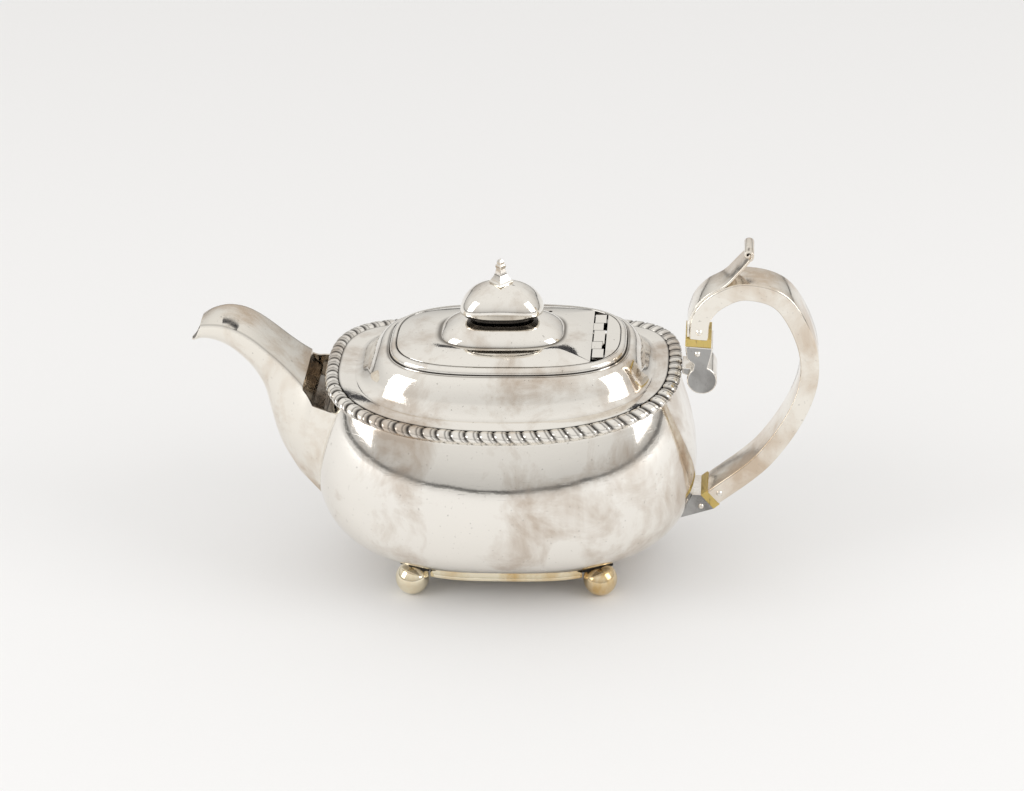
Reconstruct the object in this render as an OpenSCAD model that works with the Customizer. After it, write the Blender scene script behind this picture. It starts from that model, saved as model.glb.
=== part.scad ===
// Silver teapot with a hinged lid, on four ball feet.
// Millimetres. +X points to the handle, -X to the spout, Z is up, the table is z = 0
// and the pot is symmetric about the plane y = 0.

/* [Body] */
// Half length of the body at its widest
belly_a = 87.6; // [80:0.1:95]
// Half depth of the body at its widest
belly_b = 63.6; // [58:0.1:68]
// Height of the widest part of the body
belly_z = 56; // [53:0.5:60]
// Height of the underside of the body
base_z = 17; // [15:0.5:20]
// Height where the body wall meets the rim
wall_top_z = 92; // [90:0.5:94]
// Thickness of the raised silver walls
wall = 1.0; // [0.8:0.1:1.4]

/* [Rim and shoulder] */
// Half length over the gadroon rim
rim_a = 81; // [76:0.1:84]
// Half depth over the gadroon rim
rim_b = 58.5; // [55:0.1:61]
// Height of the middle of the gadroon rim
rim_z = 95; // [93:0.5:97]
// Rise of the rim at the two ends of the pot, over its middle
rim_lift = 8; // [0:0.5:10]
// Number of gadroon lobes
rim_lobes = 72; // [60:2:84]
// Rise of the concave part of the shoulder
cove_rise = 6; // [4:0.5:8]

/* [Lid and hinge] */
// Distance of the lid opening from the middle of the body, towards the handle
lid_shift = 2.5; // [0:0.5:4]
// Half length of the lid opening
lid_a = 50.7; // [48:0.1:53]
// Half depth of the lid opening
lid_b = 31; // [29:0.1:33]
// Height of the lid seam
lid_z = 117.6; // [117:0.1:119]
// Rise of the lid's nearly flat border
lid_rise = 2.6; // [2:0.1:4]
// Rise of the boss in the middle of the lid
boss_rise = 8.2; // [6:0.1:9]
// Distance of the hinge axis from the middle of the body
hinge_x = 43.2; // [42:0.1:44]
// Outer radius of the hinge knuckles
knuckle_r = 2.2; // [2:0.1:2.4]
// Radius of the hinge pin
pin_r = 0.95; // [0.8:0.05:1.1]
// Radial clearance of the pin in the knuckles
pin_clearance = 0.05; // [0.02:0.01:0.1]
// Gap around the lid, and between the pot's fixed and moving pieces
lid_gap = 0.3; // [0.25:0.05:0.4]
// Radius of the steam vent in the lid
vent_r = 0.9; // [0.6:0.1:1.2]

/* [Finial] */
// Half length of the cushion-shaped cap
cap_a = 18.8; // [16:0.1:20]
// Half depth of the cap
cap_b = 12.5; // [10:0.1:14]
// Height of the cap's lower edge
cap_z = 130.6; // [128:0.1:132]
// How far the middle of the cap's long edges arches up
cap_arch = 3; // [0:0.5:4]
// Height of the top of the spire
spire_top_z = 156; // [152:0.5:160]

/* [Spout] */
// Distance from the middle of the body to the spout's tip
spout_reach = 142.5; // [140:0.5:145]
// Radius of the strainer let into the body wall
strainer_r = 13; // [10:0.5:14]

/* [Handle] */
// Distance from the middle of the body to the back of the handle
handle_reach = 142.5; // [140:0.5:145]
// Width of the handle across the pot
handle_w = 18.6; // [16:0.2:20]
// Thickness of the handle in the plane of its loop
handle_t = 8.4; // [7:0.1:10]

/* [Feet] */
// Radius of the ball feet
ball_r = 7.8; // [7:0.1:8.5]
// Distance of each ball from the middle, along the pot
ball_x = 43.4; // [40:0.1:46]
// Distance of each ball from the middle, across the pot
ball_y = 30; // [27:0.1:32]

/* [Hidden] */

segments = 60;              // points around each cushion-shaped ring
solder = 0.02;              // gap where two soldered pieces meet
belly_power = 2.5;          // how square the plan of the body is up to its belly
plan_power = 2.9;           // how square the plan of the rim is
lid_power = 3.0;            // how square the plan of the lid is
foot_power = 3.2;           // how square the plan of the foot is

bowl_power = 2.2;           // fullness of the lower body
foot_a = 49;
foot_b = 33.5;
neck_in = 11;               // how far the wall draws in from belly to neck
neck_power = 1.8;           // how late it does so
crevice = 1.0;              // extra draw-in right under the rim

rim_band = 6.6;             // width of the gadroon rim in plan
rim_half_h = 2.6;
border_end = 0.3;           // shoulder fractions where border and cove end
cove_end = 0.6;
collar_w = 3.9;
collar_drop = 3.1;

hinge_z = lid_z - knuckle_r;
leaf_gap = knuckle_r + 0.35;
lid_t = 1.3;
knuckle_ends = [5.6, 12.8, 21.4];
bearer_t = 1.2;
bearer_z = lid_z - lid_t - lid_gap - bearer_t;
screw_r = 1.5;
vent_x = 20.5;
vent_y = 20;
boss_a = 28;                // half length of the boss in the lid
boss_b = 17.5;              // half depth of the boss

handle_wall = 1.1;
tenon_t = handle_t - 2 * handle_wall - 0.1;
tenon_w = handle_w - 2 * handle_wall - 0.1;
insulator_t = 3.6;
pin_head_r = 1.5;

// ---------- curves ----------
function power_radius(c, s, p) = pow(pow(abs(c), p) + pow(abs(s), p), -1 / p);

// A cushion-shaped outline, as [x, y] points.
function cushion(a, b, p, count, x0 = 0) = [
  for (i = [0 : count - 1])
    let (t = 360 * i / count, c = cos(t), s = sin(t), r = power_radius(c, s, p))
      [x0 + a * r * c, b * r * s]
];
function at_height(outline, z) = [for (q = outline) [q[0], q[1], z]];
// A cushion-shaped ring; rise lifts its two ends.
function ring(a, b, z, p = plan_power, x0 = 0, rise = 0) = [
  for (q = cushion(a, b, p, segments, x0)) [q[0], q[1], z + rise * pow((q[0] - x0) / a, 2)]
];

// A smooth curve through a short list of points.
function spline_at(p0, p1, p2, p3, t) =
  0.5 * (2 * p1 + (p2 - p0) * t + (2 * p0 - 5 * p1 + 4 * p2 - p3) * t * t
    + (3 * p1 - p0 - 3 * p2 + p3) * t * t * t);
function spline(points, steps) = let (n = len(points)) concat(
  [for (k = [0 : n - 2], i = [0 : steps - 1])
    spline_at(points[max(k - 1, 0)], points[k], points[k + 1], points[min(k + 2, n - 1)], i / steps)],
  [points[n - 1]]
);
function unit(v) = v / norm(v);
function tangent(path, i) = unit(path[min(i + 1, len(path) - 1)] - path[max(i - 1, 0)]);
function offset_path(path, d) = [
  for (i = [0 : len(path) - 1]) let (t = tangent(path, i)) path[i] + d * [-t[1], t[0]]
];
function reversed(list) = [for (i = [len(list) - 1 : -1 : 0]) list[i]];
function band(path, d1, d2) = concat(offset_path(path, d1), reversed(offset_path(path, d2)));

// Half size of the body wall at height z, from its foot and belly sizes and the height of its top.
function wall_half(z, foot, belly, top = wall_top_z) =
  z <= belly_z
    ? foot + (belly - foot) * pow(1 - pow((belly_z - z) / (belly_z - base_z), bowl_power), 1 / bowl_power)
    : belly - neck_in * pow((z - belly_z) / (top - belly_z), neck_power);
function wall_a(z) = wall_half(z, foot_a, belly_a);
function wall_b(z) = wall_half(z, foot_b, belly_b);
// Height of the top of the wall at an end of the pot, y off its middle plane.
function end_top(y) =
  wall_top_z + rim_lift * pow(1 - pow(abs(y) / belly_b, plan_power), 2 / plan_power);
function wall_power(z) =
  belly_power + (plan_power - belly_power) * max(0, (z - belly_z) / (wall_top_z - belly_z));
function wall_x(y, z) =
  let (
    top = end_top(y), p = wall_power(z),
    a = wall_half(z, foot_a, belly_a, top), b = wall_half(z, foot_b, belly_b, top)
  )
    a * pow(1 - pow(abs(y) / b, p), 1 / p);

// ---------- skins ----------
function side_faces(rings, points, loop) = [
  for (i = [0 : rings - (loop ? 1 : 2)], j = [0 : points - 1])
    let (k = (j + 1) % points, a = i * points, b = ((i + 1) % rings) * points)
      for (f = [[a + j, b + j, b + k], [a + j, b + k, a + k]]) f
];

// A closed ring-shaped skin: the last ring joins the first.
module skin_loop(rings) {
  n = len(rings[0]);
  polyhedron([for (r = rings, q = r) q], side_faces(len(rings), n, true), convexity = 6);
}

// The middle of a ring.
function middle(r) = let (n = len(r)) [for (k = [0 : 2]) [for (q = r) q[k]] * [for (q = r) 1] / n];

// A closed skin with a flat end, fanned from its middle, at its first and last ring.
module skin_capped(rings) {
  n = len(rings[0]);
  count = len(rings);
  last = (count - 1) * n;
  polyhedron(
    concat([for (r = rings, q = r) q], [middle(rings[0]), middle(rings[count - 1])]),
    concat(
      side_faces(count, n, false),
      [for (j = [0 : n - 1]) [count * n, j, (j + 1) % n]],
      [for (j = [0 : n - 1]) [count * n + 1, last + (j + 1) % n, last + j]]
    ),
    convexity = 6
  );
}

// A bent channel: each ring is its outer side, then its inner side backwards.
module skin_channel(rings) {
  n = len(rings[0]);
  last = (len(rings) - 1) * n;
  half = n / 2;
  polyhedron(
    [for (r = rings, q = r) q],
    concat(
      side_faces(len(rings), n, false),
      [for (j = [0 : half - 2])
        for (f = [[j, j + 1, n - 2 - j], [j, n - 2 - j, n - 1 - j]]) f],
      [for (j = [0 : half - 2])
        for (f = [[last + j, last + n - 2 - j, last + j + 1],
                  [last + j, last + n - 1 - j, last + n - 2 - j]]) f]
    ),
    convexity = 6
  );
}

// A flat-sided bar in the plane of the handle, centred on y = 0.
module slab(outline, width) {
  translate([0, width / 2, 0])
    rotate([90, 0, 0])
      linear_extrude(width) polygon(outline);
}

module cross_rod(x, z, r, length) {
  translate([x, length / 2, z]) rotate([90, 0, 0]) cylinder(h = length, r = r, $fn = 32);
}

// ---------- body ----------
bowl_steps = 9;
neck_steps = 6;
function bowl_z(i, steps) = belly_z - (belly_z - base_z) * pow(cos(90 * i / steps), 2 / bowl_power);
function neck_z(i, steps) = belly_z + (wall_top_z - 1.5 - belly_z) * i / steps;
function wall_ring(z, inset) =
  let (rise = rim_lift * max(0, (z - belly_z) / (wall_top_z - belly_z)))
    ring(wall_a(z) - inset, wall_b(z) - inset, z, wall_power(z), 0, rise);
function wall_lip(inset) =
  ring(wall_a(wall_top_z) - inset, wall_b(wall_top_z) - inset, wall_top_z, plan_power, 0, rim_lift);

// The body's outside as a solid block, grown by a little.
module body_block(grow) {
  skin_capped(concat(
    [for (i = [0 : bowl_steps]) wall_ring(bowl_z(i, bowl_steps), -grow)],
    [for (i = [1 : neck_steps]) wall_ring(neck_z(i, neck_steps), -grow)],
    [wall_lip(crevice - grow)]
  ));
}

module body() {
  floor_z = base_z + wall;
  color("silver")
    difference() {
      skin_capped(concat(
        [for (i = [0 : bowl_steps]) wall_ring(bowl_z(i, bowl_steps), 0)],
        [for (i = [1 : neck_steps]) wall_ring(neck_z(i, neck_steps), 0)],
        [wall_lip(crevice), wall_lip(crevice + wall)],
        [for (z = [86, 76, 66, 56, 46, 36, 28, 22]) wall_ring(z, wall)],
        [ring(foot_a + 10, foot_b + 10, floor_z)]
      ));
      translate([-belly_a - 5, 0, strainer_z])
        rotate([0, 90, 0]) cylinder(h = 12, r = strainer_r + solder, $fn = 48);
    }
}

// ---------- rim and shoulder ----------
module gadroon_rim() {
  steps = 2 * rim_lobes;
  sides = 7;
  mid = rim_band / 2;
  color("gainsboro")
    skin_loop([
      for (k = [0 : sides - 1])
        let (t = -360 * k / sides, out = cos(t), up = sin(t))
          [for (i = [0 : steps - 1])
            let (
              a = 360 * i / steps,
              swell = i % 2 == 0 ? 1 : 0.84,
              r = power_radius(cos(a), sin(a), plan_power),
              inset = mid - mid * swell * out
            )
            [(rim_a - inset) * r * cos(a), (rim_b - inset) * r * sin(a),
             rim_z + rim_half_h * swell * up + rim_lift * pow(r * cos(a), 2)]
          ]
    ]);
}

// The shoulder runs from the rim (f = 0) to the lid collar (f = 1): a border, a cove and a dome.
border_rise = 1.4;
border_over_rim = 1.6;
function shoulder_z(f) =
  let (border = rim_z + border_over_rim, step = border + border_rise)
    f < border_end ? border + border_rise * f / border_end
    : f < cove_end ? step + cove_rise * (1 - cos(90 * (f - border_end) / (cove_end - border_end)))
    : step + cove_rise + (lid_z - collar_drop - step - cove_rise) * sin(90 * (f - cove_end) / (1 - cove_end));
function shoulder_ring(f, drop) =
  let (
    a0 = rim_a - rim_band + 0.2, b0 = rim_b - rim_band + 0.2,
    a1 = lid_a + collar_w, b1 = lid_b + collar_w, inset = f < 1 ? drop * 0.35 : -solder
  )
    ring(a0 + (a1 - a0) * f - inset, b0 + (b1 - b0) * f - inset, shoulder_z(f) - drop,
      plan_power + (lid_power - plan_power) * f, lid_shift * f, rim_lift * (1 - f));
shoulder_steps = [0, 0.15, 0.3, 0.4, 0.5, 0.56, 0.6, 0.64, 0.7, 0.78, 0.88, 1];

module shoulder() {
  color("silver")
    skin_loop(concat(
      [for (f = shoulder_steps) shoulder_ring(f, 0)],
      [for (f = [1, 0.85, 0.68, 0.6, 0.5, 0.3, 0]) shoulder_ring(f, wall)]
    ));
}

module lid_collar() {
  a = lid_a;
  b = lid_b;
  foot_z = lid_z - collar_drop;
  color("gainsboro")
    skin_loop([
      ring(a + collar_w, b + collar_w, foot_z - wall, lid_power, lid_shift),
      ring(a + collar_w, b + collar_w, foot_z + 0.9, lid_power, lid_shift),
      ring(a + 2.9, b + 2.9, lid_z - 0.7, lid_power, lid_shift),
      ring(a + 1.4, b + 1.4, lid_z - 0.1, lid_power, lid_shift),
      ring(a, b, lid_z, lid_power, lid_shift),
      ring(a, b, foot_z - wall, lid_power, lid_shift)
    ]);
}

module lid_bearer() {
  lip = 3.4;
  knuckle_slot = knuckle_ends[2] + 1;
  color("darkgray")
    difference() {
      translate([0, 0, bearer_z]) linear_extrude(bearer_t)
        polygon(cushion(lid_a - solder, lid_b - solder, lid_power, segments, lid_shift));
      translate([0, 0, bearer_z - 1]) linear_extrude(bearer_t + 2)
        polygon(cushion(lid_a - lip, lid_b - lip, lid_power, segments, lid_shift));
      translate([hinge_x - leaf_gap, -knuckle_slot, bearer_z - 1])
        cube([2 * leaf_gap, 2 * knuckle_slot, bearer_t + 2]);
    }
}

// ---------- hinge ----------
// The knuckle between y0 and y1, with a web to its leaf; toward is 1 for the fixed leaf, -1 for the lid.
module knuckle(y0, y1, toward) {
  end_gap = 0.1;
  length = y1 - y0 - 2 * end_gap;
  web_x = toward < 0 ? hinge_x - leaf_gap : hinge_x + knuckle_r - 0.6;
  difference() {
    union() {
      translate([hinge_x, y1 - end_gap, hinge_z])
        rotate([90, 0, 0]) cylinder(h = length, r = knuckle_r, $fn = 48);
      translate([web_x, y0 + end_gap, hinge_z - 0.6])
        cube([leaf_gap - knuckle_r + 0.6, length, 1.2]);
    }
    translate([hinge_x, y1 + 1, hinge_z])
      rotate([90, 0, 0]) cylinder(h = length + 4, r = pin_r + pin_clearance, $fn = 48);
  }
}

module fixed_knuckles() {
  color("silver") {
    knuckle(-knuckle_ends[0], knuckle_ends[0], 1);
    knuckle(knuckle_ends[1], knuckle_ends[2], 1);
    knuckle(-knuckle_ends[2], -knuckle_ends[1], 1);
  }
}

module lid_knuckles() {
  color("silver") {
    knuckle(knuckle_ends[0], knuckle_ends[1], -1);
    knuckle(-knuckle_ends[1], -knuckle_ends[0], -1);
  }
}

module hinge_pin() {
  color("dimgray") cross_rod(hinge_x, hinge_z, pin_r, 2 * knuckle_ends[2] - 0.4);
}

module hinge_plate() {
  edge = hinge_x + leaf_gap;
  color("silver")
    translate([0, 0, bearer_z + bearer_t + solder]) linear_extrude(lid_z - bearer_z - bearer_t - solder)
      polygon([
        for (q = cushion(lid_a - lid_gap, lid_b - lid_gap, lid_power, 4 * segments, lid_shift))
          if (q[0] > edge) q
      ]);
}

// ---------- lid ----------
// The lid's outlines: k = 1 is its edge, cut straight along the hinge, and boss_k is the foot of the boss.
boss_k = 0.56;
function boss_outline(k) = cushion(boss_a * k, boss_b * k, lid_power, segments);
function lid_edge() =
  let (edge = hinge_x - leaf_gap)
    [for (q = cushion(lid_a - lid_gap, lid_b - lid_gap, lid_power, segments, lid_shift))
      [min(q[0], edge), q[1]]];
function lid_outline(k) =
  let (boss = boss_outline(min(1, k / boss_k)), edge = lid_edge(), f = max(0, (k - boss_k) / (1 - boss_k)))
    [for (i = [0 : segments - 1]) boss[i] + f * (edge[i] - boss[i])];
function lid_top_z(k) =
  k > boss_k
    ? lid_z + lid_rise * (1 - pow((k - boss_k) / (1 - boss_k), 1.6))
    : lid_z + lid_rise + boss_rise * pow(1 - pow(k / boss_k, 3), 0.7);
lid_rings = [0.93, 0.82, 0.7, 0.6, 0.56, 0.55, 0.52, 0.47, 0.4, 0.3, 0.15];
lid_peak = lid_z + lid_rise + boss_rise;

module lid() {
  color("silver")
    difference() {
      skin_capped(concat(
        [for (i = [len(lid_rings) - 1 : -1 : 0])
          at_height(lid_outline(lid_rings[i]), lid_top_z(lid_rings[i]) - lid_t)],
        [at_height(lid_outline(1), lid_z - lid_t), at_height(lid_outline(1), lid_z)],
        [for (k = lid_rings) at_height(lid_outline(k), lid_top_z(k))]
      ));
      translate([0, 0, lid_z]) cylinder(h = 2 * boss_rise, r = screw_r + solder, $fn = 32);
      translate([vent_x, vent_y, lid_z - lid_t]) cylinder(h = boss_rise, r = vent_r, $fn = 24);
    }
}

module lid_bezel() {
  drop = 4.6;
  inset = 4.1;
  top_z = lid_z - lid_t - solder;
  color("darkgray")
    difference() {
      translate([0, 0, top_z - drop]) linear_extrude(drop) polygon(bezel_outline(inset));
      translate([0, 0, top_z - drop - 1]) linear_extrude(drop + 2) polygon(bezel_outline(inset + 1.1));
    }
}
function bezel_outline(inset) =
  [for (q = cushion(lid_a - inset, lid_b - inset, lid_power, segments, lid_shift))
    [min(q[0], hinge_x - leaf_gap - inset + 2.4), q[1]]];

// ---------- finial ----------
// The cap's rings: its lower edge is k = 1, arched up at the middle of the long sides, and k = 0 is its top.
cap_rise = 14;
cap_edge = 1.2;
function cap_top_z(k) = cap_z + cap_edge + (cap_rise - cap_edge) * pow(1 - pow(k, 2.1), 0.62);
function arch_left(z) = cap_arch * max(0, 1 - (z - cap_z) / cap_rise);
function cap_ring(k, z) = ring(cap_a * k, cap_b * k, z + arch_left(z), plan_power, 0, -arch_left(z));

module finial_base() {
  color("dimgray")
    difference() {
      skin_capped([
        for (s = [[0.78, lid_peak + 0.05], [0.76, lid_peak + 0.6], [0.84, cap_z - 0.7], [0.94, cap_z - solder]])
          ring(cap_a * s[0], cap_b * s[0], s[1])
      ]);
      translate([0, 0, lid_z]) cylinder(h = 30, r = screw_r + solder, $fn = 32);
    }
}

module finial_cap() {
  color("silver")
    difference() {
      skin_capped(concat(
        [ring(cap_a * 0.9, cap_b * 0.9, cap_z)],
        [cap_ring(0.93, cap_z), cap_ring(0.99, cap_z), cap_ring(1, cap_z + 0.6)],
        [for (k = [0.985, 0.93, 0.82, 0.66, 0.45, 0.25]) cap_ring(k, cap_top_z(k))]
      ));
      translate([0, 0, lid_z]) cylinder(h = 40, r = screw_r + solder, $fn = 32);
    }
}

function diamond(d, z) = [for (i = [0 : 3]) [d * cos(90 * i), d * sin(90 * i), z]];
module finial_spire() {
  foot = cap_top_z(0.25) + arch_left(cap_top_z(0.25)) + solder;
  color("silver")
    skin_capped([
      diamond(5.6, foot), diamond(5.7, foot + 0.9), diamond(4.6, foot + 1.7), diamond(4.4, foot + 2.1),
      diamond(3.2, foot + 3.6), diamond(2.5, foot + 5.4), diamond(2.1, foot + 7.2), diamond(2.4, foot + 8),
      diamond(2.4, foot + 9), diamond(1.7, foot + 9.6), diamond(1.7, foot + 10.6), diamond(0.9, spire_top_z)
    ]);
}

module finial_screw() {
  low = lid_peak - lid_t - 3;
  color("dimgray")
    translate([0, 0, low]) cylinder(h = cap_top_z(0.25) - low, r = screw_r, $fn = 32);
}

module finial_nut() {
  height = 2.2;
  top = lid_peak - lid_t - 0.4;
  color("dimgray")
    translate([0, 0, top - height])
      difference() {
        cylinder(h = height, r = 4.2, $fn = 6);
        translate([0, 0, -1]) cylinder(h = height + 2, r = screw_r + solder, $fn = 32);
      }
}

// ---------- spout ----------
// Stations from the body to the tip: top middle [x, z], keel [x, z] and half width.
spout_stations = [
  [[-85, 95.8], [-96, 49.5], 26],
  [[-88, 98.6], [-104, 65], 20.6],
  [[-93, 103.5], [-107.8, 80.5], 17.2],
  [[-99.5, 110], [-110, 92.5], 15],
  [[-106, 116.2], [-113.5, 100.8], 14.3],
  [[-112.5, 121.8], [-118, 107], 13.6],
  [[-119, 125.7], [-123.2, 112.3], 12.8],
  [[-126, 127.6], [-128.8, 115.6], 11.3],
  [[-132.5, 127.1], [-134, 116.9], 9.2],
  [[-137.2, 125.4], [-138, 116.6], 6.4]
];
spout_lip = [[-140.3, 118.8], [-140.9, 116], 4.2];
spout_tip = [[-141.8, 117.6], [-spout_reach, 115.4], 1.3];
spout_root = [[-82, 93.4], [-82, 35], 29.5];
spout_arc = 12;             // facets around the spout's section
cover_t = 1.2;
cover_crown = 0.6;
spout_wall = 1.2;
section_power = 2.1;
strainer_z = 62;

function spout_dir(s) = unit(s[1] - s[0]);
// One side point: q runs from -1 at the near edge, through 0 at the keel, to 1 at the far edge.
function spout_point(s, q, inset) =
  let (
    t = 90 * (1 - abs(q)), depth = norm(s[1] - s[0]) - cover_t - inset,
    across = (s[2] - inset) * pow(cos(t), 2 / section_power),
    down = cover_t + depth * pow(sin(t), 2 / section_power),
    at = s[0] + down * spout_dir(s)
  )
    [at[0], (q < 0 ? -1 : 1) * across, at[1]];
function spout_section(s) = concat(
  [for (i = [0 : spout_arc]) spout_point(s, -1 + 2 * i / spout_arc, 0)],
  [for (i = [spout_arc : -1 : 0]) spout_point(s, -1 + 2 * i / spout_arc, spout_wall)]
);
// Past the mouth the section is a thin open lip.
function lip_section(s) = concat(
  [for (i = [0 : spout_arc]) spout_point(s, -1 + 2 * i / spout_arc, 0)],
  [for (i = [spout_arc : -1 : 0]) spout_point(s, -1 + 2 * i / spout_arc, 0.9)]
);
// The root section, pushed a little way into the body wall; the body's block then trims it flush.
root_depth = 0.8;
function on_wall(q) = [root_depth - wall_x(q[1], min(q[2], end_top(q[1]) - 1.5)), q[1], q[2]];

module spout_shell() {
  color("silver")
    difference() {
      skin_channel(concat(
        [[for (q = spout_section(spout_root)) on_wall(q)]],
        [for (s = spout_stations) spout_section(s)],
        [lip_section(spout_lip), lip_section(spout_tip)]
      ));
      body_block(solder);
    }
}

function cover_section(s, crown) =
  let (d = spout_dir(s), w = s[2])
    concat(
      [for (i = [0 : 4]) let (q = 1 - i / 2, at = s[0] - crown * (1 - q * q) * d) [at[0], w * q, at[1]]],
      [for (i = [0 : 4]) let (q = -1 + i / 2, at = s[0] + (cover_t - solder) * d) [at[0], w * q, at[1]]]
    );

module spout_cover() {
  root = cover_section(spout_root, cover_crown);
  color("silver")
    difference() {
      skin_channel(concat(
        [[for (q = root) on_wall(q)]],
        [for (s = spout_stations) cover_section(s, cover_crown)]
      ));
      body_block(solder);
    }
}

module strainer() {
  face_x = -belly_a + 6;
  depth = 7;
  plate = 1;
  color("darkgray")
    difference() {
      translate([-belly_a - 1, 0, strainer_z]) rotate([0, 90, 0]) cylinder(h = depth, r = strainer_r, $fn = 48);
      translate([-belly_a - 2, 0, strainer_z])
        rotate([0, 90, 0]) cylinder(h = depth + 1 - plate, r = strainer_r - 1, $fn = 48);
      for (circle = [[0, 1], [4.2, 6], [8.4, 12]], i = [0 : circle[1] - 1])
        let (t = 360 * i / circle[1])
          translate([face_x - 3, circle[0] * cos(t), strainer_z + circle[0] * sin(t)])
          rotate([0, 90, 0]) cylinder(h = 6, r = 1.3, $fn = 16);
    }
}

// ---------- handle ----------
// Middle line of the handle as [x, z], from the upper end over the top to the lower end.
handle_line = spline([
  [88.6, 120.4], [90, 131], [97.5, 139.6], [110.3, 144], [127, 137.3],
  [handle_reach - handle_t / 2 - 0.5, 113], [135.2, 88], [118.5, 59.5], [95, 39]
], 6);
handle_last = len(handle_line) - 1;
upper_dir = tangent(handle_line, 0);
lower_dir = tangent(handle_line, handle_last);
upper_end = handle_line[0];
lower_end = handle_line[handle_last];

module handle() {
  cover = handle_t / 2;
  bore_line = concat([upper_end - 2 * upper_dir], handle_line, [lower_end + 2 * lower_dir]);
  color("silver")
    difference() {
      slab(band(handle_line, cover, -cover), handle_w);
      slab(band(bore_line, cover - handle_wall, handle_wall - cover), handle_w - 2 * handle_wall);
      cross_rod(upper_pin[0], upper_pin[1], pin_hole_r, handle_w + 2);
      cross_rod(lower_pin[0], lower_pin[1], pin_hole_r, handle_w + 2);
    }
}

// A bar from one point to another in the plane of the handle.
function bar(p, q, half_t) = band([p, (p + q) / 2, q], half_t, -half_t);
tenon = 8;
pin_body_r = 0.8;
pin_hole_r = pin_body_r + solder;
pin_inset = 3.6;
upper_pin = upper_end + pin_inset * upper_dir;
upper_socket_pin = upper_end - (insulator_t + pin_inset) * upper_dir;
lower_pin = lower_end - pin_inset * lower_dir;
lower_socket_pin = lower_end + (insulator_t + pin_inset) * lower_dir;

module insulator(end, inward, collar_half) {
  color("ivory")
    difference() {
      union() {
        slab(bar(end - solder * inward, end - (insulator_t - solder) * inward, collar_half), handle_w);
        slab(bar(end - (insulator_t + tenon * 0.7) * inward, end + tenon * inward, tenon_t / 2), tenon_w);
      }
      for (p = [end + pin_inset * inward, end - (insulator_t + pin_inset) * inward])
        cross_rod(p[0], p[1], pin_hole_r, handle_w);
    }
}

module upper_insulator() {
  insulator(upper_end, upper_dir, handle_t / 2 + 1.6);
}

module lower_insulator() {
  insulator(lower_end, -lower_dir, handle_t / 2 + 0.4);
}

// Cuts the pocket for an insulator's tenon and its pin hole out of a socket.
module tenon_pocket(end, inward) {
  depth = insulator_t + tenon * 0.7 + 0.2;
  pin = end - (insulator_t + pin_inset) * inward;
  slab(bar(end, end - depth * inward, tenon_t / 2 + 0.05), tenon_w + 0.1);
  cross_rod(pin[0], pin[1], pin_hole_r, handle_w + 2);
}

scroll_c = [90, 99.7];
scroll_r = 6.8;
arm_w = 12;
arm = [[rim_a + 0.06, rim_z + rim_lift - 1.6], [rim_a + 0.06, rim_z + rim_lift + 1.8], [86, 104.4], [86, 99.4]];

module upper_socket() {
  face = upper_end - (insulator_t + solder) * upper_dir;
  seat_half = 6.4;          // half the width of the seat under the insulator
  side = seat_half * [-upper_dir[1], upper_dir[0]];
  color("gray")
    difference() {
      union() {
        slab([face + side, face - side, [94.2, 111.4], [91.8, 107.2], [91.8, 104],
              [86.4, 104], [86.4, 107.6], [83.2, 110.6]], handle_w);
        cross_rod(scroll_c[0], scroll_c[1], scroll_r, handle_w);
        slab(arm, arm_w);
      }
      tenon_pocket(upper_end, upper_dir);
    }
}

module lower_socket() {
  face = lower_end + (insulator_t + solder) * lower_dir;
  side = handle_t / 2 + 0.4;
  normal = [-lower_dir[1], lower_dir[0]];
  low_z = 27.5;
  high_z = 40.5;
  color("gray")
    difference() {
      slab(concat(
        [face + side * normal, face - side * normal],
        [for (i = [0 : 6]) let (z = high_z + (low_z - high_z) * i / 6) [wall_x(0, z) + solder, z]]
      ), handle_w);
      tenon_pocket(lower_end, -lower_dir);
    }
}

// A rivet across the handle with a domed head at each end.
module rivet(p) {
  cross_rod(p[0], p[1], pin_body_r, handle_w);
  for (side = [-1, 1])
    intersection() {
      translate([p[0], side * (handle_w / 2 - 0.4), p[1]]) sphere(r = pin_head_r, $fn = 32);
      translate([p[0] - 3, side > 0 ? handle_w / 2 + solder : -handle_w / 2 - solder - 3, p[1] - 3])
        cube([6, 3, 6]);
    }
}

module upper_pins() {
  color("silver") {
    rivet(upper_pin);
    rivet(upper_socket_pin);
  }
}

module lower_pins() {
  color("silver") {
    rivet(lower_pin);
    rivet(lower_socket_pin);
  }
}

// A leaf of silver that hugs the top of the handle, then lifts into a rolled thumb-piece.
module thumb_piece() {
  leaf_t = 1.1;
  clear = 0.1;
  hug = offset_path(handle_line, handle_t / 2 + leaf_t / 2 + clear);
  leave = 13;               // where along the handle's line the leaf lifts off
  lifted = spline([hug[leave], hug[leave + 1], [105.8, 152.4], [110, 158.4]], 5);
  leaf = concat([for (i = [1 : leave]) hug[i]], [for (i = [1 : len(lifted) - 1]) lifted[i]]);
  roll = [110.7, 161.2];
  roll_r = 2.9;
  roll_w = 15;
  color("silver") {
    slab(band(leaf, leaf_t / 2, -leaf_t / 2), handle_w - 1);
    cross_rod(roll[0], roll[1], roll_r, roll_w);
  }
}

// ---------- feet ----------
function corner(i) = [i % 2 == 0 ? -1 : 1, i < 2 ? -1 : 1];
ball_z = ball_r - 0.2;
flange_z = 15.6;
notch_x = 35;
notch_y = 21.5;

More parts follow.
